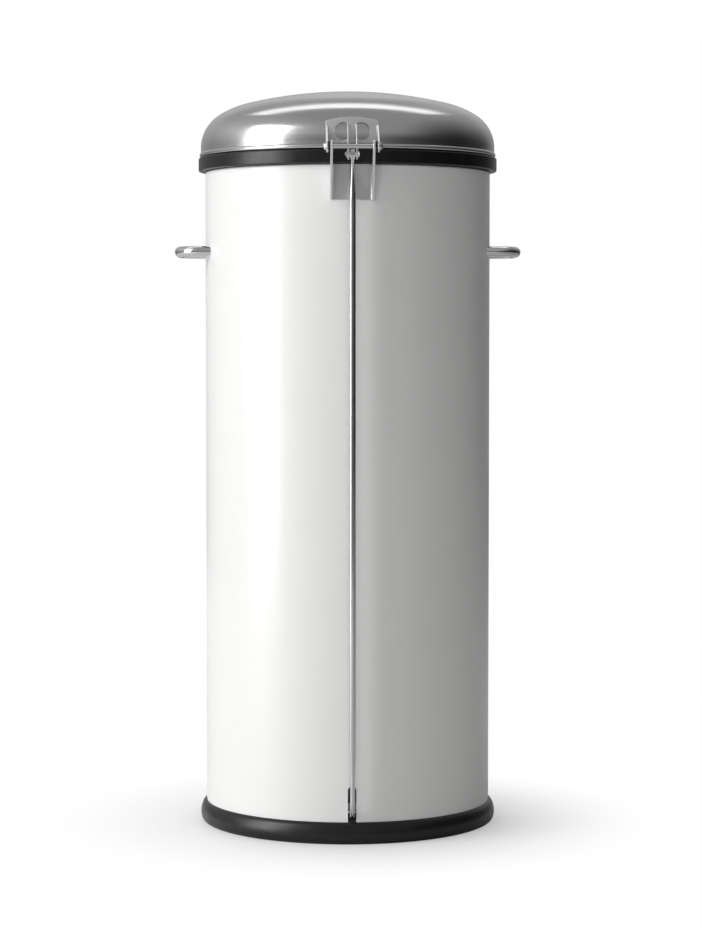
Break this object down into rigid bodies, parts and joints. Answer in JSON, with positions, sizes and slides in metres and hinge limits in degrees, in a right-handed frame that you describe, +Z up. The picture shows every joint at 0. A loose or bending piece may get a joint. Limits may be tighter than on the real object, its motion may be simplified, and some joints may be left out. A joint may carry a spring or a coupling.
{
  "type": "pedal trash can",
  "caption": "Round step-on kitchen bin: white steel body on a rubber base ring, domed steel lid on a rear hinge, a lift rod down the back, side handles, a front pedal and a lift-out bucket.",
  "frame": {"origin": "on the floor, where the round body's axis meets it", "axes": "+Z up the body's axis, -Y towards the pedal at the front, +Y towards the hinge and the lift rod at the back, X along the hinge pin"},
  "size_m": [0.3252, 0.3429, 0.6878],
  "materials": {
    "white_enamel": "gloss powder coat",
    "stainless_satin": "satin brushed",
    "polished_steel": "polished",
    "galvanised_steel": "zinc coated",
    "black_rubber": "moulded, satin",
    "black_nylon": "moulded, matte"
  },
  "bodies": {
    "root": {"body_shell": "white_enamel", "base_ring": "black_rubber", "base_plate": "galvanised_steel", "floor_hoop": "galvanised_steel", "hinge_body_bracket": "stainless_satin", "hinge_backing_plate": "galvanised_steel", "hinge_bracket_nuts": "galvanised_steel", "hinge_pin": "polished_steel", "handle_left": "polished_steel", "handle_right": "polished_steel", "handle_nuts": "galvanised_steel", "fulcrum_bracket": "galvanised_steel", "fulcrum_rivets": "galvanised_steel", "fulcrum_pin": "polished_steel", "pedal_stop": "black_rubber"},
    "lid": {"lid_dome": "stainless_satin", "lid_seal": "black_rubber", "hinge_lid_bracket": "stainless_satin", "lid_stiffener": "galvanised_steel", "hinge_washers": "black_nylon", "rod_rivet": "polished_steel"},
    "rod": {"lift_rod": "polished_steel"},
    "lever": {"pedal_lever": "galvanised_steel", "lever_tail_pin": "polished_steel", "pedal_plate": "stainless_satin", "pedal_rivets": "polished_steel", "pedal_pad": "black_rubber"},
    "bucket": {"inner_bucket": "galvanised_steel", "bucket_ears": "galvanised_steel", "bucket_ear_rivets": "polished_steel"},
    "bail": {"bucket_bail": "polished_steel", "bail_grip": "black_nylon"}
  },
  "joints": [
    {"name": "lid_hinge", "type": "hinge", "parent": "root", "child": "lid", "pos_m": [0, 0.1575, 0.6271], "axis": [-1, 0, 0], "range_deg": [0, 70]},
    {"name": "rod_swivel", "type": "hinge", "parent": "lid", "child": "rod", "pos_m": [0, 0.147, 0.6206], "axis": [1, 0, 0], "range_deg": [0, 70.03]},
    {"name": "pedal_pivot", "type": "hinge", "parent": "root", "child": "lever", "pos_m": [0, 0.008, 0.029], "axis": [1, 0, 0], "range_deg": [0, 7.08]},
    {"name": "bucket_lift", "type": "slide", "parent": "root", "child": "bucket", "axis": [0, 0, 1], "range_m": [0, 0.06]},
    {"name": "bail_swing", "type": "hinge", "parent": "bucket", "child": "bail", "pos_m": [0, 0, 0.546], "axis": [-1, 0, 0], "range_deg": [0, 180]}
  ],
  "couplings": [
    {"joint": "rod_swivel", "follows": "lid_hinge", "ratio": 1.0003},
    {"joint": "pedal_pivot", "follows": "lid_hinge", "ratio": 0.10095}
  ]
}
